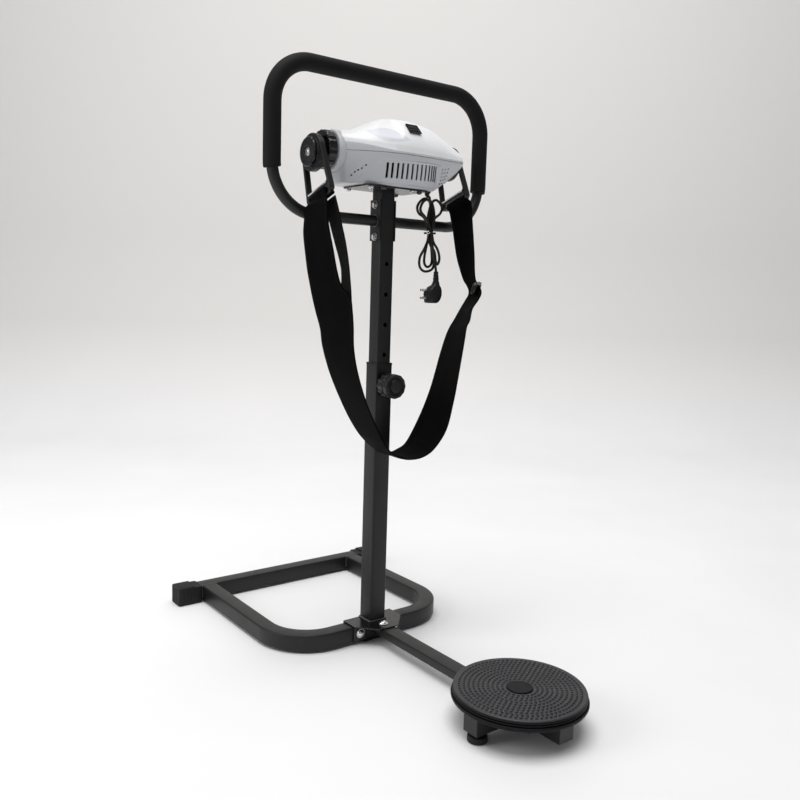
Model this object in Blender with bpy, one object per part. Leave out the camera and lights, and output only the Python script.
# Standing vibration-belt massager with a twist disc.
#
# Metres, +Z up, origin on the floor under the centre of the upright post.
# The user stands on the twist disc facing the post: +X is the user's right,
# -Y (front) points from the post to the twist disc, +Y to the rear floor bar.
# Every piece is built in world coordinates, then its origin is moved onto the pivot it belongs to.

import math
from collections import namedtuple

import bmesh
import bpy
from mathutils import Matrix, Vector

X_AXIS = Vector((1, 0, 0))
Y_AXIS = Vector((0, 1, 0))
Z_AXIS = Vector((0, 0, 1))
FRONT = -Y_AXIS
SIDES = {"left": -1.0, "right": 1.0}    # side name: sign of x

# ------------------------------------------------------------------ shared dimensions
GAP = 0.0003              # running gap between neighbouring pieces

TUBE = 0.040              # square tube of the floor frame
TUBE_WALL = 0.0018
TUBE_Z0 = 0.005           # underside of the floor frame above the floor
TUBE_Z1 = TUBE_Z0 + TUBE
TUBE_MID_Z = TUBE_Z0 + TUBE / 2
TUBE_FACE = TUBE / 2 + GAP    # nearest that a neighbour comes to the tube's centre line
REAR_Y = 0.454            # centre of the rear bar

PLATE_T = 0.003           # foot bracket plate
PLATE_Z = TUBE_Z1 + GAP
PLATE_TOP = PLATE_Z + PLATE_T

POST_LOW = 0.045          # lower post, square
POST_LOW_WALL = 0.002
POST_LOW_TOP = 0.674
POST_UP = 0.038           # upper post, square
POST_UP_WALL = 0.0015
POST_UP_Z0 = 0.335
POST_UP_Z1 = 1.0742
KNOB_Z = 0.628            # height of the lock knob

DISC_Y = -0.503           # twist disc axis
DISC_TOP_Z = 0.077

SHAFT_Z = 1.1465          # motor shaft, along X at y = 0
CRANK_THROW = 0.009
CRANK_Z = {"left": SHAFT_Z - CRANK_THROW, "right": SHAFT_Z + CRANK_THROW}
HOOK_X = 0.190            # centre plane of each hook
SWITCH_CENTRE = Vector((0.024, -0.0720, 1.2052))

# ------------------------------------------------------------------ looks
Look = namedtuple("Look", "colour roughness metallic", defaults=(0.0,))

BLACK_COAT = Look(colour=(0.022, 0.022, 0.024), roughness=0.38)
BLACK_PLASTIC = Look(colour=(0.015, 0.015, 0.016), roughness=0.45)
RUBBER = Look(colour=(0.018, 0.018, 0.018), roughness=0.85)
ZINC = Look(colour=(0.62, 0.62, 0.60), roughness=0.28, metallic=1.0)
STEEL = Look(colour=(0.45, 0.45, 0.46), roughness=0.35, metallic=1.0)
WHITE = Look(colour=(0.80, 0.80, 0.82), roughness=0.32)
GREY_WHITE = Look(colour=(0.60, 0.60, 0.63), roughness=0.38)
FOAM = Look(colour=(0.020, 0.020, 0.021), roughness=0.92)
WEBBING = Look(colour=(0.012, 0.012, 0.013), roughness=0.80)
DISC_GREY = Look(colour=(0.070, 0.068, 0.075), roughness=0.55)
BOARD_GREEN = Look(colour=(0.02, 0.12, 0.05), roughness=0.5)


def make_material(name, look):
    material = bpy.data.materials.new(name)
    material.use_nodes = True
    inputs = material.node_tree.nodes["Principled BSDF"].inputs
    inputs["Base Color"].default_value = (*look.colour, 1.0)
    inputs["Roughness"].default_value = look.roughness
    inputs["Metallic"].default_value = look.metallic
    material.diffuse_color = (*look.colour, 1.0)
    return material


# ------------------------------------------------------------------ objects
for old in list(bpy.data.objects):
    bpy.data.objects.remove(old, do_unlink=True)

COLLECTION = bpy.context.scene.collection


def pivot(name, position, parent=None):
    """Empty that marks an axis; its world position is kept in the property "at"."""
    marker = bpy.data.objects.new(name, None)
    marker.empty_display_size = 0.03
    COLLECTION.objects.link(marker)
    position = Vector(position)
    marker["at"] = tuple(position)
    marker.parent = parent
    marker.location = position - Vector(parent["at"]) if parent else position
    return marker


def link_mesh(name, mesh, parent):
    """Turn a bmesh in world coordinates into an object whose origin is its parent's."""
    bmesh.ops.remove_doubles(mesh, verts=mesh.verts, dist=1e-6)
    bmesh.ops.recalc_face_normals(mesh, faces=mesh.faces)
    bmesh.ops.translate(mesh, verts=mesh.verts, vec=-Vector(parent["at"]))
    data = bpy.data.meshes.new(name)
    mesh.to_mesh(data)
    mesh.free()
    made = bpy.data.objects.new(name, data)
    COLLECTION.objects.link(made)
    made.parent = parent
    return made


def piece(name, mesh, look, parent, sharp=None):
    """Visible piece, smooth shaded up to the sharp angle in degrees if one is given."""
    made = link_mesh(name, mesh, parent)
    made.data.materials.append(make_material(name, look))
    if sharp is not None:
        made.data.shade_smooth()
        made.data.set_sharp_from_angle(angle=math.radians(sharp))
    return made


def helper(name, mesh, parent):
    """Hidden operand of a boolean."""
    made = link_mesh(name, mesh, parent)
    made.hide_render = True
    made.display_type = "WIRE"
    return made


def boolean(target, operand, operation="DIFFERENCE"):
    modifier = target.modifiers.new(operation.lower(), "BOOLEAN")
    modifier.operation = operation
    modifier.solver = "EXACT"
    modifier.object = operand


# ------------------------------------------------------------------ sections and frames
def circle(radius, sides):
    angles = [2 * math.pi * i / sides for i in range(sides)]
    return [(radius * math.cos(angle), radius * math.sin(angle)) for angle in angles]


def arc(centre_x, centre_y, radius, start, end, steps):
    """Points along an arc, angles in degrees."""
    angles = [math.radians(start + (end - start) * i / steps) for i in range(steps + 1)]
    return [(centre_x + radius * math.cos(angle), centre_y + radius * math.sin(angle))
            for angle in angles]


def chamfered(width, height, cut):
    """Rectangle with its corners cut, as eight points."""
    x, y = width / 2, height / 2
    return [(x, -y + cut), (x, y - cut), (x - cut, y), (-x + cut, y),
            (-x, y - cut), (-x, -y + cut), (-x + cut, -y), (x - cut, -y)]


def rectangle(centre, across, up, width, height):
    return [centre + across * (i * width / 2) + up * (j * height / 2)
            for i, j in ((-1, -1), (1, -1), (1, 1), (-1, 1))]


def level(z, section, x=0.0, y=0.0):
    """Horizontal loop at height z, centred on x, y."""
    return [Vector((x + a, y + b, z)) for a, b in section]


def frames_at(points, across, up):
    return [(Vector(point), across, up) for point in points]


def place(frames, section):
    """One loop of the flat section on each (point, across, up) frame."""
    return [[point + across * s + up * t for s, t in section] for point, across, up in frames]


def bore(radius, sides):
    """Vertex radius of a polygonal bore whose flats still clear a pin by the gap."""
    return (radius + GAP) / math.cos(math.pi / sides)


# ------------------------------------------------------------------ solids
def bridge(mesh, first, second):
    """Faces between two rings of vertices."""
    for i in range(len(first)):
        j = (i + 1) % len(first)
        mesh.faces.new((first[i], first[j], second[j], second[i]))


def add_skin(mesh, loops):
    """Open skin over equal-length loops; returns the rings of vertices."""
    rings = [[mesh.verts.new(point) for point in loop] for loop in loops]
    for first, second in zip(rings, rings[1:]):
        bridge(mesh, first, second)
    return rings


def skinned(loops, closed_path=False, mesh=None):
    """Solid over loops: capped at both ends, or joined last to first."""
    if mesh is None:
        mesh = bmesh.new()
    rings = add_skin(mesh, loops)
    if closed_path:
        bridge(mesh, rings[-1], rings[0])
    else:
        mesh.faces.new(rings[0][::-1])
        mesh.faces.new(rings[-1])
    return mesh


def tube(outer_loops, inner_loops):
    """Hollow tube with open ends."""
    mesh = bmesh.new()
    outer = add_skin(mesh, outer_loops)
    inner = add_skin(mesh, inner_loops)
    for end in (0, -1):
        bridge(mesh, outer[end], inner[end])
    return mesh


def square_tube(frames, width, height, wall, outer_cut, inner_cut):
    return tube(place(frames, chamfered(width, height, outer_cut)),
                place(frames, chamfered(width - 2 * wall, height - 2 * wall, inner_cut)))


def box(x_range, y_range, z_range):
    x0, x1 = sorted(x_range)
    y0, y1 = sorted(y_range)
    return skinned([level(z, ((x0, y0), (x1, y0), (x1, y1), (x0, y1))) for z in sorted(z_range)])


def axis_frame(axis):
    axis = Vector(axis).normalized()
    reference = Z_AXIS if abs(axis.z) < 0.9 else X_AXIS
    across = reference.cross(axis).normalized()
    return axis, across, axis.cross(across)


def rods(ends, radius, sides, mesh=None):
    """One cylinder for each (start, end) pair, all in one mesh."""
    if mesh is None:
        mesh = bmesh.new()
    for start, end in ends:
        start, end = Vector(start), Vector(end)
        _, across, up = axis_frame(end - start)
        skinned(place(frames_at((start, end), across, up), circle(radius, sides)), mesh=mesh)
    return mesh


def revolve(origin, axis, profile, sides, reshape=None):
    """Turn a closed profile of (radius, height along the axis) points about an axis.

    A point on the axis becomes one vertex. reshape(angle, radius, height) gives a new radius.
    """
    mesh = bmesh.new()
    origin = Vector(origin)
    axis, across, up = axis_frame(axis)
    on_axis = {}
    columns = []
    for i in range(sides):
        angle = 2 * math.pi * i / sides
        outward = across * math.cos(angle) + up * math.sin(angle)
        column = []
        for j, (radius, height) in enumerate(profile):
            if radius < 1e-9:
                if j not in on_axis:
                    on_axis[j] = mesh.verts.new(origin + axis * height)
                column.append(on_axis[j])
                continue
            if reshape:
                radius = reshape(angle, radius, height)
            column.append(mesh.verts.new(origin + axis * height + outward * radius))
        columns.append(column)
    for i in range(sides):
        here, after = columns[i], columns[(i + 1) % sides]
        for j in range(len(profile)):
            k = (j + 1) % len(profile)
            corners = list(dict.fromkeys((here[j], here[k], after[k], after[j])))
            if len(corners) >= 3:
                mesh.faces.new(corners)
    return mesh


def flutes(count, depth, min_radius, max_height=math.inf):
    """Reshape for revolve: grooves in the part outside min_radius and below max_height."""
    def reshape(angle, radius, height):
        if radius > min_radius and height < max_height:
            lobe = 0.5 + 0.5 * math.cos(count * angle)
            return radius - depth * (1 - lobe)
        return radius
    return reshape


def prism(outlines, to_world, depth):
    """Extrude a flat outline with holes. to_world maps (s, t, depth) to a point."""
    mesh = bmesh.new()
    edges = []
    for outline in outlines:
        verts = [mesh.verts.new(to_world(s, t, 0.0)) for s, t in outline]
        edges += [mesh.edges.new((verts[i], verts[(i + 1) % len(verts)]))
                  for i in range(len(verts))]
    bmesh.ops.triangle_fill(mesh, use_beauty=True, use_dissolve=False, edges=edges)
    extruded = bmesh.ops.extrude_face_region(mesh, geom=list(mesh.faces))
    moved = [item for item in extruded["geom"] if isinstance(item, bmesh.types.BMVert)]
    bmesh.ops.translate(mesh, verts=moved, vec=to_world(0, 0, depth) - to_world(0, 0, 0))
    return mesh


# ------------------------------------------------------------------ pivots
BASE = pivot("axis_frame_root", (0, 0, 0))
COLUMN = pivot("axis_height", (0, 0, KNOB_Z), BASE)
DISC = pivot("axis_disc", (0, DISC_Y, DISC_TOP_Z), BASE)
LOCK_PIN = pivot("axis_lock_pin", (0, -0.030, KNOB_Z), BASE)
LOCK_KNOB = pivot("axis_lock_knob", (0, -0.050, KNOB_Z), LOCK_PIN)
ROTOR = pivot("axis_rotor", (0, 0, SHAFT_Z), COLUMN)
BELT = pivot("axis_belt", (0, 0, SHAFT_Z), COLUMN)
SWITCH = pivot("axis_switch", SWITCH_CENTRE, COLUMN)
RINGS = {}
HOOKS = {}
for side, sign in SIDES.items():
    crank_pin = (sign * HOOK_X, 0, CRANK_Z[side])
    RINGS[side] = pivot("axis_ring_" + side, crank_pin, ROTOR)
    HOOKS[side] = pivot("axis_hook_" + side, crank_pin, RINGS[side])

# ------------------------------------------------------------------ floor frame
LOOP_HALF = 0.232         # half spacing of the two side rails, centre to centre
LOOP_R = 0.115            # bend radius of the two front corners, on the centre line
LOOP_STEPS = 6            # steps in each corner
BAR_HALF = 0.300          # half length of the rear bar

BOOT_OUT_X = 0.320
BOOT_IN_X = 0.2545
BOOT_TOP_X = 0.2755       # the top of the boot stops here
BOOT_SIDE_T = 0.0052
BOOT_TOP_T = 0.0050

BOLT_X = 0.051            # the two bolts in the front of the bracket
BOLT_Z = 0.028
TOP_BOLT_Y = -0.045
BOLT_HOLE_R = 0.0045
BOLT_SIDES = 12
FLANGE_IN_X = 0.032
FLANGE_OUT_X = 0.070
FLANGE_Z0 = 0.010
PLATE_NOSE_X = 0.027      # half width of the bracket plate at its front edge
PLATE_NOSE_Y = -0.070

# Domed bolt: radius, height above the seat.
DOME_BOLT = [(0.0, 0.0065), (0.0055, 0.0055), (0.0092, 0.0024), (0.0100, 0.0),
             (0.0040, 0.0), (0.0040, -0.014), (0.0, -0.014)]


def bolt_rods(y0, y1):
    """Start and end points of rods through the two front bolt places."""
    return [((x, y0, BOLT_Z), (x, y1, BOLT_Z)) for x in (-BOLT_X, BOLT_X)]


def top_bolt_rod(z0):
    return ((0, TOP_BOLT_Y, z0), (0, TOP_BOLT_Y, 0.060))


def base_loop_frames():
    """Centre line of the U-shaped loop from rear left to rear right, across vectors outwards."""
    y_end = REAR_Y - TUBE_FACE
    frames = [(Vector((-LOOP_HALF, y_end, TUBE_MID_Z)), -X_AXIS, Z_AXIS)]
    for x, start in ((-LOOP_HALF + LOOP_R, math.pi), (LOOP_HALF - LOOP_R, 1.5 * math.pi)):
        for i in range(LOOP_STEPS + 1):
            angle = start + (math.pi / 2) * i / LOOP_STEPS
            outward = Vector((math.cos(angle), math.sin(angle), 0))
            frames.append((Vector((x, LOOP_R, TUBE_MID_Z)) + outward * LOOP_R, outward, Z_AXIS))
    frames.append((Vector((LOOP_HALF, y_end, TUBE_MID_Z)), X_AXIS, Z_AXIS))
    return frames


def make_base_loop():
    mesh = square_tube(base_loop_frames(), TUBE, TUBE, TUBE_WALL, 0.003, 0.002)
    loop = piece("base_loop", mesh, BLACK_COAT, BASE)
    holes = rods(bolt_rods(-0.030, -0.005), BOLT_HOLE_R, BOLT_SIDES)
    boolean(loop, helper("cut_loop_bolts", holes, BASE))


def make_rear_bar():
    ends = [(x, REAR_Y, TUBE_MID_Z) for x in (-BAR_HALF, BAR_HALF)]
    mesh = square_tube(frames_at(ends, Y_AXIS, Z_AXIS), TUBE, TUBE, TUBE_WALL, 0.003, 0.002)
    piece("rear_bar", mesh, BLACK_COAT, BASE)


def make_rear_boot(side, sign):
    """Rubber boot over one end of the rear bar, open inwards and cut away at its inner top."""
    top = TUBE_Z1 + BOOT_TOP_T
    ends = [(x, REAR_Y, top / 2) for x in sorted((sign * BOOT_OUT_X, sign * BOOT_IN_X))]
    section = chamfered(TUBE + 2 * BOOT_SIDE_T, top, 0.004)
    boot = piece("rear_boot_" + side, skinned(place(frames_at(ends, Y_AXIS, Z_AXIS), section)),
                 RUBBER, BASE)
    clear_x = sign * 0.240
    bar_room = box((sign * (BAR_HALF + GAP), clear_x), (REAR_Y - TUBE_FACE, REAR_Y + TUBE_FACE),
                   (TUBE_Z0 - GAP, TUBE_Z1 + GAP))
    boolean(boot, helper("cut_boot_bar_" + side, bar_room, BASE))
    top_room = box((sign * BOOT_TOP_X, clear_x), (REAR_Y - 0.040, REAR_Y + 0.040),
                   (TUBE_Z1 - 0.004, TUBE_Z1 + 0.020))
    boolean(boot, helper("cut_boot_top_" + side, top_room, BASE))


def make_front_pad():
    section = chamfered(0.070, 0.036, 0.005)
    piece("front_pad", skinned([level(z, section) for z in (0.0, TUBE_Z0 - GAP)]), RUBBER, BASE)


def make_foot_bracket():
    """Plate narrowing to the front, with two front and two rear flanges gripping the loop."""
    flange_face = TUBE_FACE + PLATE_T
    plate = [(-FLANGE_OUT_X, flange_face), (-FLANGE_OUT_X, -flange_face),
             (-PLATE_NOSE_X, PLATE_NOSE_Y), (PLATE_NOSE_X, PLATE_NOSE_Y),
             (FLANGE_OUT_X, -flange_face), (FLANGE_OUT_X, flange_face)]
    mesh = skinned([level(z, plate) for z in (PLATE_Z, PLATE_TOP)])
    bracket = piece("foot_bracket", mesh, BLACK_COAT, BASE)
    for i, (x_sign, y_sign) in enumerate(((-1, -1), (1, -1), (-1, 1), (1, 1))):
        flange = box((x_sign * FLANGE_IN_X, x_sign * FLANGE_OUT_X),
                     (y_sign * TUBE_FACE, y_sign * flange_face),
                     (FLANGE_Z0, PLATE_Z + PLATE_T / 2))
        boolean(bracket, helper("add_flange_%d" % i, flange, BASE), "UNION")
    holes = rods(bolt_rods(-0.035, -0.015) + [top_bolt_rod(0.030)], BOLT_HOLE_R, BOLT_SIDES)
    boolean(bracket, helper("cut_bracket_bolts", holes, BASE))


def make_bracket_bolts():
    seat_y = -TUBE_FACE - PLATE_T - GAP
    for name, seat, axis in (("left", (-BOLT_X, seat_y, BOLT_Z), FRONT),
                             ("right", (BOLT_X, seat_y, BOLT_Z), FRONT),
                             ("top", (0, TOP_BOLT_Y, PLATE_TOP + GAP), Z_AXIS)):
        mesh = revolve(seat, axis, DOME_BOLT, BOLT_SIDES)
        piece("bracket_bolt_" + name, mesh, ZINC, BASE, sharp=40)


# ------------------------------------------------------------------ lower post, bush and lock
BOSS_R = 0.0105
BOSS_Y = -0.0295          # front face of the boss on the lower post
BUSH_Z0 = 0.590
COLLAR_TOP = 0.6790       # top of the bush's lip
PIN_HOLE_R = 0.0046
PIN_R = 0.0040
PIN_TIP = POST_UP / 2 + 0.0005    # in front of the post's axis, as are the next three
PIN_END = 0.0580
KNOB_BACK = 0.0302
KNOB_FACE = 0.0695


def make_lower_post_and_bush():
    ends = [(0, 0, z) for z in (PLATE_TOP + GAP, POST_LOW_TOP)]
    mesh = square_tube(frames_at(ends, X_AXIS, Y_AXIS), POST_LOW, POST_LOW, POST_LOW_WALL,
                       0.0025, 0.001)
    post = piece("lower_post", mesh, BLACK_COAT, BASE)
    boss_ends = ((0, -POST_LOW / 2 + 0.001, KNOB_Z), (0, BOSS_Y, KNOB_Z))
    boolean(post, helper("add_boss", rods([boss_ends], BOSS_R, sides=14), BASE), "UNION")
    hole_ends = ((0, -0.040, KNOB_Z), (0, -0.012, KNOB_Z))
    pin_hole = helper("cut_pin", rods([hole_ends], PIN_HOLE_R, sides=12), BASE)
    boolean(post, pin_hole)
    boolean(make_post_bush(), pin_hole)


def make_post_bush():
    """Sleeve between the posts, with a lip resting on the lower post."""
    inner = POST_UP + 2 * GAP
    outer = POST_LOW - 2 * POST_LOW_WALL - 2 * GAP
    lip_z = POST_LOW_TOP + GAP
    sleeve = chamfered(outer, outer, 0.0012)
    lip = chamfered(POST_LOW + 0.001, POST_LOW + 0.001, 0.003)
    lip_top = chamfered(POST_LOW - 0.001, POST_LOW - 0.001, 0.003)
    opening = chamfered(inner, inner, 0.0004)
    mesh = skinned([
        level(BUSH_Z0, sleeve), level(lip_z, sleeve), level(lip_z, lip),
        level(COLLAR_TOP - 0.001, lip), level(COLLAR_TOP, lip_top),
        level(COLLAR_TOP, opening), level(BUSH_Z0, opening)], closed_path=True)
    return piece("post_bush", mesh, BLACK_PLASTIC, BASE)


def make_lock_pin():
    profile = [(0.0, PIN_TIP), (0.0030, PIN_TIP), (PIN_R, PIN_TIP + 0.0015),
               (PIN_R, PIN_END), (0.0, PIN_END)]
    piece("lock_pin", revolve((0, 0, KNOB_Z), FRONT, profile, sides=12), ZINC, LOCK_PIN, sharp=40)


def make_knob_grip():
    """Knob with a fluted rear part, hollow at the back over the boss."""
    profile = [
        (0.0130, KNOB_BACK), (0.0290, KNOB_BACK), (0.0290, KNOB_BACK + 0.0195),
        (0.0272, KNOB_BACK + 0.0215), (0.0285, KNOB_BACK + 0.0235), (0.0285, KNOB_FACE - 0.0030),
        (0.0265, KNOB_FACE), (0.0205, KNOB_FACE), (0.0180, KNOB_FACE - 0.0025),
        (0.0160, KNOB_FACE + 0.0005), (0.0, KNOB_FACE + 0.0010),
        (0.0, PIN_END + 0.0004), (PIN_R + 0.0004, PIN_END + 0.0004),
        (PIN_R + 0.0004, 0.0480), (0.0130, 0.0480)]
    grooves = flutes(count=10, depth=0.0030, min_radius=0.027, max_height=KNOB_BACK + 0.021)
    mesh = revolve((0, 0, KNOB_Z), FRONT, profile, sides=30, reshape=grooves)
    piece("knob_grip", mesh, BLACK_PLASTIC, LOCK_KNOB, sharp=35)


# ------------------------------------------------------------------ arm and twist disc
ARM_W = 0.040
ARM_H = 0.020
CROSS_Z0 = 0.020          # cross-shaped channel under the disc
CROSS_Z1 = 0.055
CROSS_WALL = 0.0025
CROSS_ROOF = CROSS_Z1 - CROSS_WALL
CROSS_HALF_W = 0.019
CROSS_X = 0.130
CROSS_BACK = DISC_Y + 0.118
CROSS_FRONT = DISC_Y - 0.125

DISC_R = 0.1335
DISC_BASE_R = 0.1365
DISC_BASE_Z = CROSS_Z1 + GAP
DISC_BASE_FLOOR = DISC_BASE_Z + 0.0030
PIVOT_R = 0.0060
PIVOT_HEAD_R = 0.0100
MAT_Z = 0.0748            # underside of the mat and the cap
CAP_R = 0.0262


def make_disc_arm():
    ends = [(0, y, TUBE_Z1 - ARM_H / 2) for y in (-TUBE_FACE, CROSS_BACK + GAP)]
    mesh = square_tube(frames_at(ends, X_AXIS, Z_AXIS), ARM_W, ARM_H, TUBE_WALL, 0.002, 0.001)
    arm = piece("disc_arm", mesh, BLACK_COAT, BASE)
    hole = rods([top_bolt_rod(0.034)], BOLT_HOLE_R, BOLT_SIDES)
    boolean(arm, helper("cut_arm_bolt", hole, BASE))


def cross_outline(inset):
    width = CROSS_HALF_W - inset
    x = CROSS_X - inset
    back, front = CROSS_BACK - inset, CROSS_FRONT + inset
    y0, y1 = DISC_Y - width, DISC_Y + width
    return [(width, front), (width, y0), (x, y0), (x, y1), (width, y1), (width, back),
            (-width, back), (-width, y1), (-x, y1), (-x, y0), (-width, y0), (-width, front)]


def make_disc_frame():
    """Cross-shaped channel, open underneath."""
    outer, inner = cross_outline(0), cross_outline(CROSS_WALL)
    mesh = skinned([level(CROSS_Z1, outer), level(CROSS_Z0, outer),
                    level(CROSS_Z0, inner), level(CROSS_ROOF, inner)])
    frame = piece("disc_frame", mesh, BLACK_COAT, BASE)
    hole = rods([((0, DISC_Y, 0.045), (0, DISC_Y, 0.065))], 0.0066, sides=16)
    boolean(frame, helper("cut_pivot", hole, BASE))


def make_disc_feet():
    profile = [
        (0.0, 0.0), (0.0165, 0.0), (0.0180, 0.0020), (0.0180, 0.0150),
        (0.0165, CROSS_Z0 - GAP), (0.0120, CROSS_Z0 - GAP),
        (0.0120, CROSS_ROOF - GAP), (0.0, CROSS_ROOF - GAP)]
    for side, sign in SIDES.items():
        mesh = revolve((sign * 0.110, DISC_Y, 0), Z_AXIS, profile, sides=16)
        piece("disc_foot_" + side, mesh, RUBBER, BASE, sharp=40)


# Round pieces of the twist disc: name, look, pivot, sides, profile of (radius, z).
DISC_PARTS = [
    ("disc_base", BLACK_PLASTIC, BASE, 32, [
        (0.0070, DISC_BASE_Z), (0.1320, DISC_BASE_Z), (DISC_BASE_R, DISC_BASE_Z + 0.0025),
        (DISC_BASE_R, 0.0632), (0.1355, 0.0642), (0.1260, 0.0642),
        (0.1260, DISC_BASE_FLOOR), (0.0070, DISC_BASE_FLOOR)]),
    ("disc_bearing", STEEL, BASE, 24, [
        (0.050, DISC_BASE_FLOOR + GAP), (0.064, DISC_BASE_FLOOR + GAP),
        (0.064, 0.0677), (0.050, 0.0677)]),
    ("disc_pivot", STEEL, BASE, 12, [
        (0.0, 0.0440), (0.0105, 0.0440), (0.0105, 0.0510), (PIVOT_R, 0.0510),
        (PIVOT_R, 0.0718), (PIVOT_HEAD_R, 0.0718), (PIVOT_HEAD_R, 0.0742), (0.0, 0.0742)]),
    ("disc_top", DISC_GREY, DISC, 32, [
        (bore(PIVOT_R, 32), 0.0680), (0.1250, 0.0680), (0.1260, 0.0648),
        (DISC_R - 0.0008, 0.0648), (DISC_R, 0.0656), (DISC_R, 0.0735), (DISC_R - 0.0010, 0.0745),
        (bore(PIVOT_HEAD_R, 32), 0.0745), (bore(PIVOT_HEAD_R, 32), 0.0714),
        (bore(PIVOT_R, 32), 0.0714)]),
    ("disc_mat", DISC_GREY, DISC, 32, [
        (bore(CAP_R, 32), MAT_Z), (0.1315, MAT_Z), (0.1315, DISC_TOP_Z - 0.0006),
        (0.1309, DISC_TOP_Z), (bore(CAP_R, 32), DISC_TOP_Z)]),
    ("disc_cap", DISC_GREY, DISC, 24, [
        (0.0, MAT_Z), (CAP_R, MAT_Z), (CAP_R, 0.0772), (0.0240, 0.0784), (0.0, 0.0794)]),
]


def make_disc_parts():
    for name, look, parent, sides, profile in DISC_PARTS:
        piece(name, revolve((0, DISC_Y, 0), Z_AXIS, profile, sides), look, parent, sharp=40)


# ------------------------------------------------------------------ upper post and handle
HOLE_PITCH = 0.070        # height adjustment holes
HOLE_R = 0.005

CLAMP_Z0 = 0.9605         # handle bracket round the upper post
CLAMP_Z1 = 1.0525
CLAMP_IN = POST_UP / 2 + GAP
CLAMP_OUT = CLAMP_IN + 0.0032
CLAMP_CUT = 0.002         # cut on the two rear corners
HANDLE_BOLTS = {"lower": 0.9690, "upper": 1.0410}    # heights
HANDLE_HOLE_R = 0.0046

HANDLE_HALF = 0.2907      # half width on the tube axis
HANDLE_Z0 = 1.0053
HANDLE_Z1 = 1.3207
HANDLE_R_LOW = 0.107
HANDLE_R_TOP = 0.090
HANDLE_STEPS = 6          # steps in each corner
HANDLE_TUBE_R = 0.0125
HANDLE_WALL = 0.0015
FOAM_R = 0.019
FOAM_Z = 1.096            # height of the two foam ends


def handle_bolt_rods(mesh=None):
    ends = [((-0.040, 0, z), (0.040, 0, z)) for z in HANDLE_BOLTS.values()]
    return rods(ends, HANDLE_HOLE_R, sides=8, mesh=mesh)


def make_upper_post():
    ends = [(0, 0, z) for z in (POST_UP_Z0, POST_UP_Z1)]
    mesh = square_tube(frames_at(ends, X_AXIS, Y_AXIS), POST_UP, POST_UP, POST_UP_WALL,
                       0.002, 0.001)
    post = piece("upper_post", mesh, BLACK_COAT, COLUMN)
    heights = [KNOB_Z + i * HOLE_PITCH for i in range(-1, 5)]
    holes = rods([((0, -0.030, z), (0, -0.010, z)) for z in heights], HOLE_R, sides=12)
    boolean(post, helper("cut_post_holes", handle_bolt_rods(holes), COLUMN))


def make_handle_bracket():
    """U-shaped channel round the back and sides of the upper post."""
    outline = [(-CLAMP_OUT, -CLAMP_IN), (-CLAMP_IN, -CLAMP_IN), (-CLAMP_IN, CLAMP_IN),
               (CLAMP_IN, CLAMP_IN), (CLAMP_IN, -CLAMP_IN), (CLAMP_OUT, -CLAMP_IN),
               (CLAMP_OUT, CLAMP_OUT - CLAMP_CUT), (CLAMP_OUT - CLAMP_CUT, CLAMP_OUT),
               (-CLAMP_OUT + CLAMP_CUT, CLAMP_OUT), (-CLAMP_OUT, CLAMP_OUT - CLAMP_CUT)]
    mesh = skinned([level(z, outline) for z in (CLAMP_Z0, CLAMP_Z1)])
    bracket = piece("handle_bracket", mesh, BLACK_COAT, COLUMN)
    boolean(bracket, helper("cut_bracket_holes", handle_bolt_rods(), COLUMN))


def make_handle_bolts():
    """Bolts along X, head on the left and nut on the right."""
    seat = CLAMP_OUT + GAP
    nut = -seat - 0.0010
    profile = [(0.0, seat + 0.0070), (0.0050, seat + 0.0066), (0.0072, seat + 0.0045),
               (0.0078, seat), (0.0040, seat), (0.0040, nut), (0.0072, nut),
               (0.0072, -seat - 0.0065), (0.0, -seat - 0.0070)]
    for name, z in HANDLE_BOLTS.items():
        mesh = revolve((0, 0, z), -X_AXIS, profile, sides=8)
        piece("handle_bolt_" + name, mesh, ZINC, COLUMN, sharp=40)


def handle_frames():
    """Loop in the plane y = 0 from the left weld up, over and down to the right weld."""
    weld_x = CLAMP_OUT + GAP
    low_x, low_z = HANDLE_HALF - HANDLE_R_LOW, HANDLE_Z0 + HANDLE_R_LOW
    top_x, top_z = HANDLE_HALF - HANDLE_R_TOP, HANDLE_Z1 - HANDLE_R_TOP
    # Corners: centre x, centre z, radius, start and end angle in degrees.
    corners = ((-low_x, low_z, HANDLE_R_LOW, -90, -180), (-top_x, top_z, HANDLE_R_TOP, 180, 90),
               (top_x, top_z, HANDLE_R_TOP, 90, 0), (low_x, low_z, HANDLE_R_LOW, 0, -90))
    stations = [(-weld_x, HANDLE_Z0, math.radians(-90))]
    for centre_x, centre_z, radius, start, end in corners:
        for i in range(HANDLE_STEPS + 1):
            angle = math.radians(start + (end - start) * i / HANDLE_STEPS)
            stations.append((centre_x + radius * math.cos(angle),
                             centre_z + radius * math.sin(angle), angle))
    stations.append((weld_x, HANDLE_Z0, math.radians(-90)))
    frames = []
    for x, z, angle in stations:
        tangent = Vector((math.sin(angle), 0, -math.cos(angle))).normalized()
        frames.append((Vector((x, 0, z)), Y_AXIS, tangent.cross(Y_AXIS)))
    return frames


def make_handle_tube():
    frames = handle_frames()
    mesh = tube(place(frames, circle(HANDLE_TUBE_R, 12)),
                place(frames, circle(HANDLE_TUBE_R - HANDLE_WALL, 12)))
    piece("handle_tube", mesh, BLACK_COAT, COLUMN, sharp=40)


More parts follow.
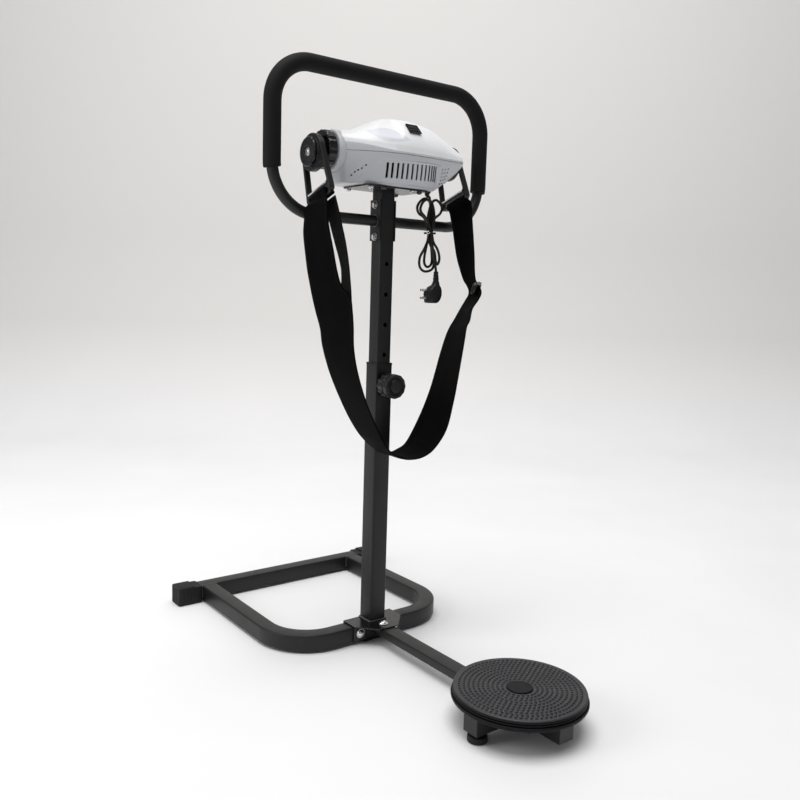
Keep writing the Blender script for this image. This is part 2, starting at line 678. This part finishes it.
def make_foam_grip():
    """Foam over the handle stations above FOAM_Z, each end part way along a lower chord."""
    frames = handle_frames()
    heights = [point.z for point, _, _ in frames]
    half = len(heights) // 2
    below_left = max(i for i in range(half) if heights[i] < FOAM_Z)
    below_right = min(i for i in range(half, len(heights)) if heights[i] < FOAM_Z)

    def end_loop(loops, i, j):
        fraction = (FOAM_Z - heights[i]) / (heights[j] - heights[i])
        return [a + (b - a) * fraction for a, b in zip(loops[i], loops[j])]

    skins = []
    for radius in (FOAM_R, HANDLE_TUBE_R + GAP + 0.0002):
        loops = place(frames, circle(radius, 12))
        skins.append([end_loop(loops, below_left, below_left + 1)]
                     + loops[below_left + 1:below_right]
                     + [end_loop(loops, below_right, below_right - 1)])
    piece("foam_grip", tube(*skins), FOAM, COLUMN, sharp=40)


# ------------------------------------------------------------------ motor head
SEAM_Z = 1.145            # joint between lower and upper shell
SHELL_T = 0.0028
HEAD_Z0 = 1.078           # underside of the lower shell
HEAD_FLOOR = HEAD_Z0 + SHELL_T
HEAD_TOP = 1.2335
HEAD_A = 0.152            # half length at the seam
HEAD_B = 0.092            # half depth at the seam
SHELL_SIDES = 28
SHELL_POWER = 3.6         # squareness of the shell outline, 2 would be an ellipse
COLLAR_R = 0.045

DOME_A = 0.149            # half length and half depth where the dome starts
DOME_B = 0.089
DOME_Z = SEAM_Z + 0.018
DOME_H = 1.233 - DOME_Z
DOME_STEPS = 6

# Outside of the lower shell: half length, half depth, z.
LOWER_LEVELS = [
    (0.112, 0.066, HEAD_Z0), (0.120, 0.073, HEAD_Z0 + 0.006), (0.134, 0.081, HEAD_Z0 + 0.026),
    (0.148, 0.089, HEAD_Z0 + 0.050), (HEAD_A, HEAD_B, SEAM_Z - GAP)]

CORD_TOP = Vector((0.094, -0.042, HEAD_Z0))    # where the cord leaves the head

SWITCH_SLOPE = math.radians(45.0)
SWITCH_OUT = Vector((0, -math.sin(SWITCH_SLOPE), math.cos(SWITCH_SLOPE)))
SWITCH_UP = SWITCH_OUT.cross(X_AXIS)
BEZEL_W, BEZEL_H = 0.0300, 0.0256      # body of the bezel
FLANGE_W, FLANGE_H = 0.0335, 0.0290    # its flange
BEZEL_HOLE = (0.0262, 0.0212)
BEZEL_SEAT = 0.0012                    # underside of the flange above the switch centre


def shell_loop(half_length, half_depth, z, power, inset=0.0):
    """Horizontal superellipse."""
    section = []
    for i in range(SHELL_SIDES):
        angle = 2 * math.pi * i / SHELL_SIDES
        cos, sin = math.cos(angle), math.sin(angle)
        section.append((
            (half_length - inset) * math.copysign(abs(cos) ** (2 / power), cos),
            (half_depth - inset) * math.copysign(abs(sin) ** (2 / power), sin)))
    return level(z, section)


def make_head_plate():
    section = chamfered(0.160, 0.130, 0.012)
    mesh = skinned([level(z, section) for z in (POST_UP_Z1 + GAP, HEAD_Z0 - GAP)])
    piece("head_plate", mesh, BLACK_COAT, COLUMN)


def make_lower_shell():
    mesh = bmesh.new()
    outer = add_skin(mesh, [shell_loop(a, b, z, SHELL_POWER) for a, b, z in LOWER_LEVELS])
    floor = shell_loop(0.117, 0.070, HEAD_FLOOR, SHELL_POWER, SHELL_T)
    inner = add_skin(mesh, [floor] + [shell_loop(a, b, z, SHELL_POWER, SHELL_T)
                                      for a, b, z in LOWER_LEVELS[2:]])
    mesh.faces.new(outer[0])
    mesh.faces.new(inner[0])
    bridge(mesh, outer[-1], inner[-1])
    return piece("lower_shell", mesh, GREY_WHITE, COLUMN, sharp=35)


def make_upper_shell():
    levels = [(HEAD_A, HEAD_B, SEAM_Z + GAP), (HEAD_A, HEAD_B, SEAM_Z + 0.012),
              (DOME_A, DOME_B, DOME_Z)]
    for i in range(1, DOME_STEPS):
        angle = i / DOME_STEPS * math.pi / 2
        shrink = math.cos(angle)
        levels.append((DOME_A * shrink ** 0.92, DOME_B * shrink ** 0.85,
                       DOME_Z + DOME_H * math.sin(angle)))
    outer_loops, inner_loops = [], []
    for a, b, z in levels:
        # The outline grows rounder towards the top.
        power = SHELL_POWER - 1.2 * min(1, max(0, (z - SEAM_Z - 0.02) / 0.05))
        drop = SHELL_T if z > SEAM_Z + 0.03 else 0
        outer_loops.append(shell_loop(a, b, z, power))
        inner_loops.append(shell_loop(a, b, z - drop, power, SHELL_T))
    mesh = bmesh.new()
    outer = add_skin(mesh, outer_loops)
    inner = add_skin(mesh, inner_loops)
    for rings, z in ((outer, HEAD_TOP), (inner, HEAD_TOP - SHELL_T)):
        apex = mesh.verts.new((0, 0, z))
        for i in range(SHELL_SIDES):
            mesh.faces.new((rings[-1][i], rings[-1][(i + 1) % SHELL_SIDES], apex))
    bridge(mesh, outer[0], inner[0])
    return piece("upper_shell", mesh, WHITE, COLUMN, sharp=35)


def switch_loop(width, height, out):
    """Rectangle parallel to the switch face, at a distance out from the switch centre."""
    return rectangle(SWITCH_CENTRE + SWITCH_OUT * out, X_AXIS, SWITCH_UP, width, height)


def make_shells():
    lower, upper = make_lower_shell(), make_upper_shell()
    ends = [((x * 0.120, 0, SHAFT_Z), (x * 0.170, 0, SHAFT_Z)) for x in (-1, 1)]
    end_holes = helper("cut_head_ends", rods(ends, COLLAR_R + GAP + 0.0003, sides=28), COLUMN)
    boolean(lower, end_holes)
    boolean(upper, end_holes)
    # Switch opening and the seat for its flange, on the front slope.
    for name, width, height, out_range in (
            ("cut_switch", BEZEL_W, BEZEL_H, (-0.023, 0.017)),
            ("cut_switch_seat", FLANGE_W, FLANGE_H, (BEZEL_SEAT - GAP, 0.0409))):
        room = skinned([switch_loop(width + 2 * GAP, height + 2 * GAP, out)
                        for out in out_range])
        boolean(upper, helper(name, room, COLUMN))
    hole_ends = [CORD_TOP + Z_AXIS * z for z in (-0.010, 0.006)]
    boolean(lower, helper("cut_grommet", rods([hole_ends], 0.0067, sides=16), COLUMN))


def make_switch_bezel():
    mesh = skinned([
        switch_loop(BEZEL_W, BEZEL_H, -0.0140), switch_loop(BEZEL_W, BEZEL_H, BEZEL_SEAT),
        switch_loop(FLANGE_W, FLANGE_H, BEZEL_SEAT), switch_loop(0.0325, 0.0280, 0.0026),
        switch_loop(*BEZEL_HOLE, 0.0026), switch_loop(*BEZEL_HOLE, -0.0120)])
    piece("switch_bezel", mesh, BLACK_PLASTIC, COLUMN)


def make_rocker():
    # Section: distance up the slope, distance out of the face.
    section = [(-0.0098, -0.0020), (-0.0070, -0.0095), (0.0070, -0.0095), (0.0098, -0.0020),
               (0.0098, 0.0032), (0.0, 0.0018), (-0.0098, 0.0032)]
    tilt = Matrix.Rotation(math.radians(-7), 3, X_AXIS)
    mesh = skinned([[SWITCH_CENTRE + tilt @ (X_AXIS * x + SWITCH_UP * up + SWITCH_OUT * out)
                     for up, out in section] for x in (-0.0124, 0.0124)])
    piece("rocker", mesh, BLACK_PLASTIC, SWITCH)


# ------------------------------------------------------------------ motor
BEARING_R = 0.0160
SHAFT_R = 0.0060
SHAFT_HALF = 0.1665
CORE_HALF = 0.038
STATOR_R = 0.046
STATOR_BORE = 0.0275
STATOR_LENGTH = 0.080
FAN_BLADES = 8
FAN_X = 0.060
# One fan blade: angle past the blade's start, radius.
BLADE_POINTS = ((0.0, 0.014), (0.10, 0.040), (0.22, 0.040), (0.24, 0.014))


def make_shaft_support(side, sign):
    """End collar of the head and the shaft bearing in it."""
    seat = bore(BEARING_R, 24)
    collar = [(seat, 0.1290), (COLLAR_R, 0.1290), (COLLAR_R, 0.1480), (COLLAR_R - 0.002, 0.1500),
              (0.0095, 0.1500), (0.0095, 0.1415), (seat, 0.1415)]
    centre = (0, 0, SHAFT_Z)
    outward = (sign, 0, 0)
    piece("end_collar_" + side, revolve(centre, outward, collar, sides=24), GREY_WHITE, COLUMN,
          sharp=40)
    hole = bore(SHAFT_R, 20)
    bearing = [(hole, 0.1300), (BEARING_R, 0.1300), (BEARING_R, 0.1410), (hole, 0.1410)]
    piece("bearing_" + side, revolve(centre, outward, bearing, sides=20), STEEL, COLUMN, sharp=40)


def along_shaft(start_x):
    """Map for prism: flat outline across the shaft, extruded towards +X from start_x."""
    return lambda s, t, depth: Vector((start_x + depth, s, SHAFT_Z + t))


def make_stator():
    """Ring on a foot block that stands on the lower shell's floor."""
    foot_z = HEAD_FLOOR + GAP - SHAFT_Z
    outline = arc(0, 0, STATOR_R, -50, 230, 18) + [(-0.040, foot_z), (0.040, foot_z)]
    mesh = prism([outline, circle(STATOR_BORE, 24)], along_shaft(-STATOR_LENGTH / 2),
                 STATOR_LENGTH)
    piece("motor_stator", mesh, STEEL, COLUMN, sharp=40)


def make_control_board():
    mesh = box((0.052, 0.098), (-0.028, 0.028), (HEAD_FLOOR + 0.0035, HEAD_FLOOR + 0.0051))
    piece("control_board", mesh, BOARD_GREEN, COLUMN)


def make_shaft_and_core():
    shaft = [(0.0, -SHAFT_HALF), (SHAFT_R, -SHAFT_HALF), (SHAFT_R, SHAFT_HALF), (0.0, SHAFT_HALF)]
    piece("motor_shaft", revolve((0, 0, SHAFT_Z), X_AXIS, shaft, sides=16), STEEL, ROTOR, sharp=40)
    hole = bore(SHAFT_R, 20)
    core = [(hole, -CORE_HALF), (0.0262, -CORE_HALF), (0.0262, CORE_HALF), (hole, CORE_HALF)]
    piece("rotor_core", revolve((0, 0, SHAFT_Z), X_AXIS, core, sides=20), STEEL, ROTOR, sharp=40)


def make_cooling_fan():
    outline = []
    for i in range(FAN_BLADES):
        start = 2 * math.pi * i / FAN_BLADES
        for past, radius in BLADE_POINTS:
            outline.append((radius * math.cos(start + past), radius * math.sin(start + past)))
    hole = circle(bore(SHAFT_R, 16), 16)
    piece("cooling_fan", prism([outline, hole], along_shaft(FAN_X), 0.012), BLACK_PLASTIC, ROTOR)


# ------------------------------------------------------------------ hubs, cranks and rings
HUB_R = 0.0415
HUB_X0 = 0.1535
HUB_X1 = 0.1740
CRANK_PIN_R = 0.012
RING_R = 0.032
RING_X0 = 0.1812
RING_X1 = 0.1988


def make_hub(side, sign):
    hole = bore(SHAFT_R, 36)
    profile = [(hole, HUB_X0), (HUB_R, HUB_X0), (HUB_R, HUB_X1 - 0.003), (HUB_R - 0.003, HUB_X1),
               (0.0, HUB_X1), (0.0, SHAFT_HALF + GAP), (hole, SHAFT_HALF + GAP)]
    mesh = revolve((0, 0, SHAFT_Z), (sign, 0, 0), profile, sides=36,
                   reshape=flutes(count=12, depth=0.0016, min_radius=0.040))
    piece("hub_" + side, mesh, BLACK_PLASTIC, ROTOR, sharp=35)


def make_crank(side, sign):
    profile = [
        (0.0, HUB_X1 + GAP), (0.0180, HUB_X1 + GAP), (0.0180, 0.1800), (CRANK_PIN_R, 0.1800),
        (CRANK_PIN_R, 0.2000), (0.0310, 0.2003), (0.0310, 0.2045), (0.0290, 0.2065),
        (0.0, 0.2065)]
    mesh = revolve((0, 0, CRANK_Z[side]), (sign, 0, 0), profile, sides=20)
    piece("crank_" + side, mesh, BLACK_PLASTIC, ROTOR, sharp=40)


def make_ring(side, sign):
    hole = bore(CRANK_PIN_R, 20)
    profile = [(hole, RING_X0), (RING_R, RING_X0), (RING_R, RING_X1), (hole, RING_X1)]
    mesh = revolve((0, 0, CRANK_Z[side]), (sign, 0, 0), profile, sides=20)
    piece("ring_" + side, mesh, STEEL, RINGS[side], sharp=40)


# ------------------------------------------------------------------ hooks and straps
HOOK_T = 0.014
HOOK_TILT = math.radians(19.0)
HOOK_COS, HOOK_SIN = math.cos(HOOK_TILT), math.sin(HOOK_TILT)
HOOK_R = 0.0400           # outside of the hook round the ring
HOOK_FOOT_X = 0.0480      # half width at the foot
HOOK_FOOT_R = 0.009
OPENING_X = 0.0398        # half width of the two openings
D_BOTTOM = -0.0825        # lower edge of the D opening
D_CORNER_R = 0.004
SLOT_TOP = -0.0915
BAR_DROP = 0.1015         # crank pin to the bar that carries the strap
BAR_TOP = BAR_DROP - 0.0030
STRAP_T = 0.0022
STRAP_FRONT = -0.039      # edges of the strap across its hook
STRAP_REAR = 0.023
STRAP_END = BAR_DROP + 0.085


def hook_outlines():
    """Outline, ring seat, D opening and strap slot, about the crank pin."""
    foot_x = HOOK_FOOT_X - HOOK_FOOT_R
    foot_z = -BAR_DROP - 0.0035 + HOOK_FOOT_R
    outer = (arc(0, 0, HOOK_R, -8, 188, 14)
             + arc(-foot_x, foot_z, HOOK_FOOT_R, 180, 270, 3)
             + arc(foot_x, foot_z, HOOK_FOOT_R, 270, 360, 3))
    seat = circle(bore(RING_R, 24), 24)
    corner_x, corner_z = OPENING_X - D_CORNER_R, D_BOTTOM + D_CORNER_R
    d_opening = (arc(0, 0, HOOK_R + 0.0005, 214, 326, 6)
                 + arc(corner_x, corner_z, D_CORNER_R, 0, -90, 2)
                 + arc(-corner_x, corner_z, D_CORNER_R, -90, -180, 2))
    slot = [(-OPENING_X, SLOT_TOP), (OPENING_X, SLOT_TOP),
            (OPENING_X, -BAR_TOP), (-OPENING_X, -BAR_TOP)]
    return outer, seat, d_opening, slot


def make_hook(side, sign):
    def to_world(s, t, depth):
        return Vector((sign * (HOOK_X - HOOK_T / 2) + sign * depth, s * HOOK_COS + t * HOOK_SIN,
                       CRANK_Z[side] + t * HOOK_COS - s * HOOK_SIN))

    mesh = prism(hook_outlines(), to_world, HOOK_T)
    piece("hook_" + side, mesh, BLACK_PLASTIC, HOOKS[side], sharp=35)


def make_strap(side, sign):
    """Strip of webbing wrapped over the hook's lower bar, two legs down."""
    inner = HOOK_T / 2 + GAP
    outer = inner + STRAP_T
    top = BAR_TOP - GAP
    shoulder = top - STRAP_T * 0.4
    # Section: x from the hook's centre plane, distance down the hook.
    section = [(-inner, STRAP_END), (-inner, top), (inner, top), (inner, STRAP_END),
               (outer, STRAP_END), (outer, shoulder), (inner, top - STRAP_T),
               (-inner, top - STRAP_T), (-outer, shoulder), (-outer, STRAP_END)]
    pin = Vector((sign * HOOK_X, 0, CRANK_Z[side]))
    across = Vector((0, HOOK_COS, -HOOK_SIN))
    down = Vector((0, -HOOK_SIN, -HOOK_COS))
    mesh = skinned([[pin + X_AXIS * x + down * drop + across * edge for x, drop in section]
                    for edge in (STRAP_FRONT, STRAP_REAR)])
    piece("strap_" + side, mesh, WEBBING, HOOKS[side])


# ------------------------------------------------------------------ belt
BELT_T = 0.0036
BELT_W = 0.108            # wide part of the belt
BELT_TOP_W = 0.058        # at the straps
BELT_Y = -0.089           # centre line of the wide part, in front of the post
BELT_TOP_Y = -0.0585
BELT_LOW_Z = 0.455        # lowest line of the belt
BELT_BEND_Z = 0.860       # the U starts below this height
BELT_POWER = 1.6          # roundness of the U, 2 would be an ellipse
TAPER_Z = 1.000           # the belt widens below this height, over TAPER_H
TAPER_H = 0.130
FALL_STEPS = 5
BEND_STEPS = 24
BUCKLE_Z = 0.850
BUCKLE_HALF = 0.014       # half height along the belt


def belt_stations():
    """(centre, width) along the belt: a fall, a U in front of the post, a fall."""
    top_left, top_right = (CRANK_Z[side] - (BAR_DROP + 0.030) * HOOK_COS for side in SIDES)
    line = [(-HOOK_X, top_left + (BELT_BEND_Z - top_left) * i / FALL_STEPS)
            for i in range(FALL_STEPS)]
    for i in range(BEND_STEPS + 1):
        angle = math.pi * i / BEND_STEPS
        cos, sin = math.cos(angle), math.sin(angle)
        line.append((
            -HOOK_X * math.copysign(abs(cos) ** (2 / BELT_POWER), cos),
            BELT_BEND_Z - (BELT_BEND_Z - BELT_LOW_Z) * abs(sin) ** (2 / BELT_POWER)))
    line += [(HOOK_X, BELT_BEND_Z + (top_right - BELT_BEND_Z) * (i + 1) / FALL_STEPS)
             for i in range(FALL_STEPS)]
    stations = []
    for x, z in line:
        taper = min(1.0, max(0.0, (TAPER_Z - z) / TAPER_H))
        taper = taper * taper * (3 - 2 * taper)
        stations.append((Vector((x, BELT_TOP_Y + (BELT_Y - BELT_TOP_Y) * taper, z)),
                         BELT_TOP_W + (BELT_W - BELT_TOP_W) * taper))
    return stations


def belt_direction(stations, i):
    """Direction of the belt at a station and the normal of its face."""
    before = stations[max(0, i - 1)][0]
    after = stations[min(len(stations) - 1, i + 1)][0]
    along = (after - before).normalized()
    return along, along.cross(Y_AXIS).normalized()


def make_belt():
    stations = belt_stations()
    loops = []
    for i, (centre, width) in enumerate(stations):
        _, normal = belt_direction(stations, i)
        loops.append(rectangle(centre, Y_AXIS, normal, width, BELT_T))
    piece("belt_main", skinned(loops), WEBBING, BELT, sharp=40)


def make_buckle():
    """Rectangular frame round the right branch of the belt."""
    stations = belt_stations()
    right = [i for i, (centre, _) in enumerate(stations) if centre.x > 0]
    nearest = min(right, key=lambda i: abs(stations[i][0].z - BUCKLE_Z))
    centre, belt_width = stations[nearest]
    along, normal = belt_direction(stations, nearest)
    width = belt_width + 2 * 0.0012
    height = BELT_T + 2 * 0.0010

    def loops(side_t, face_t):
        return [rectangle(centre + along * shift, Y_AXIS, normal,
                          width + 2 * side_t, height + 2 * face_t)
                for shift in (-BUCKLE_HALF, BUCKLE_HALF)]

    piece("buckle", tube(loops(0.005, 0.0030), loops(0.0, 0.0)), BLACK_PLASTIC, BELT)


# ------------------------------------------------------------------ mains cord
CORD_R = 0.0032
CORD_STEP = 0.0140
CORD_END = Vector((CORD_TOP.x + 0.012, CORD_TOP.y - 0.021, 0.868))
HANK_TOP = 1.045
HANK_LOW = 0.870
HANK_STEPS = 24
HANK_LAYER = 0.0085       # y taken up by one loop of the hank
TIE_Z = 0.965


def make_cord_grommet():
    hole = CORD_R + 0.0007
    profile = [
        (hole, -0.0095), (0.0050, -0.0095), (0.0085, -0.0030), (0.0085, -GAP), (0.0062, -GAP),
        (0.0062, SHELL_T + GAP), (0.0080, SHELL_T + GAP), (0.0080, SHELL_T + 0.0018),
        (hole, SHELL_T + 0.0018)]
    piece("cord_grommet", revolve(CORD_TOP, Z_AXIS, profile, sides=14), BLACK_PLASTIC, COLUMN,
          sharp=40)


def cord_points():
    """From the grommet through two long loops, narrowed at the tie, to the plug."""
    points = [CORD_TOP + Vector((0, 0, 0.004)), CORD_TOP + Vector((0, 0, -0.012))]
    # Each loop: y of its layer, half width, share of a full turn.
    for layer_y, half_width, turn in ((0.0, 0.020, 1.0), (-HANK_LAYER, 0.024, 0.97)):
        for i in range(HANK_STEPS + 1):
            angle = math.radians(100 - 360 * i / HANK_STEPS * turn)
            z = (HANK_TOP + HANK_LOW) / 2 + (HANK_TOP - HANK_LOW) / 2 * math.sin(angle)
            pinch = 0.35 + 0.65 * min(1.0, abs(z - TIE_Z) / 0.045)
            points.append(Vector((CORD_TOP.x + half_width * math.cos(angle) * pinch,
                                  CORD_TOP.y + layer_y - HANK_LAYER * i / HANK_STEPS, z)))
    points.append(Vector((CORD_TOP.x + 0.010, CORD_END.y, 0.955)))
    points.append(Vector((CORD_END.x, CORD_END.y, 0.905)))
    points.append(CORD_END)
    return points


def resample(points, step):
    """Points at equal steps along a polyline, plus its last point."""
    samples = [points[0]]
    travelled = 0.0
    for start, end in zip(points, points[1:]):
        left = (end - start).length
        while travelled + left >= step:
            start = start + (end - start) * ((step - travelled) / left)
            samples.append(start)
            left = (end - start).length
            travelled = 0.0
        travelled += left
    samples.append(points[-1])
    return samples


def make_power_cord():
    points = resample(cord_points(), CORD_STEP)
    # Drop a sample that would leave a very short last step.
    if (points[-1] - points[-2]).length < 0.004:
        points.pop(-2)
    frames = []
    across = Y_AXIS
    for i, point in enumerate(points):
        tangent = (points[min(i + 1, len(points) - 1)] - points[max(i - 1, 0)]).normalized()
        # Carry the across vector along so that the section doesn't twist.
        across = (across - tangent * across.dot(tangent)).normalized()
        frames.append((point, across, tangent.cross(across)))
    piece("power_cord", skinned(place(frames, circle(CORD_R, 5))), RUBBER, COLUMN, sharp=60)


def make_cord_tie():
    def loops(size, cut):
        return [level(z, chamfered(size, size, cut), CORD_TOP.x, CORD_TOP.y - 0.0110)
                for z in (TIE_Z - 0.004, TIE_Z + 0.004)]

    piece("cord_tie", tube(loops(0.0375, 0.006), loops(0.0335, 0.005)), BLACK_PLASTIC, COLUMN)


# Plug body: distance below the cord end, width, depth, corner cut, x offset.
PLUG_LEVELS = [
    (0.000, 0.0090, 0.0090, 0.002, 0.0), (0.026, 0.0130, 0.0130, 0.003, 0.001),
    (0.030, 0.0300, 0.0200, 0.004, -0.004), (0.052, 0.0360, 0.0260, 0.006, -0.007),
    (0.066, 0.0260, 0.0240, 0.006, -0.012)]
PLUG_PIN_DROPS = (0.040, 0.056)


def make_plug():
    """Moulded body with a strain relief and two pins pointing left."""
    top = CORD_END.z - GAP
    mesh = skinned([level(top - drop, chamfered(width, depth, cut), CORD_END.x + shift, CORD_END.y)
                    for drop, width, depth, cut, shift in PLUG_LEVELS])
    plug = piece("plug_body", mesh, BLACK_PLASTIC, COLUMN)
    for i, drop in enumerate(PLUG_PIN_DROPS):
        ends = [(CORD_END.x + x, CORD_END.y, top - drop) for x in (-0.010, -0.041)]
        pin = helper("add_plug_pin_%d" % i, rods([ends], 0.0022, sides=8), COLUMN)
        boolean(plug, pin, "UNION")


# ------------------------------------------------------------------ build
for make in (make_base_loop, make_rear_bar, make_front_pad, make_foot_bracket,
             make_bracket_bolts, make_lower_post_and_bush, make_lock_pin, make_knob_grip,
             make_disc_arm, make_disc_frame, make_disc_feet, make_disc_parts,
             make_upper_post, make_handle_bracket, make_handle_bolts, make_handle_tube,
             make_foam_grip, make_head_plate, make_shells, make_switch_bezel, make_rocker,
             make_stator, make_control_board, make_shaft_and_core, make_cooling_fan,
             make_belt, make_buckle, make_cord_grommet, make_power_cord, make_cord_tie,
             make_plug):
    make()

for make_side in (make_rear_boot, make_shaft_support, make_hub, make_crank, make_ring,
                  make_hook, make_strap):
    for side, sign in SIDES.items():
        make_side(side, sign)
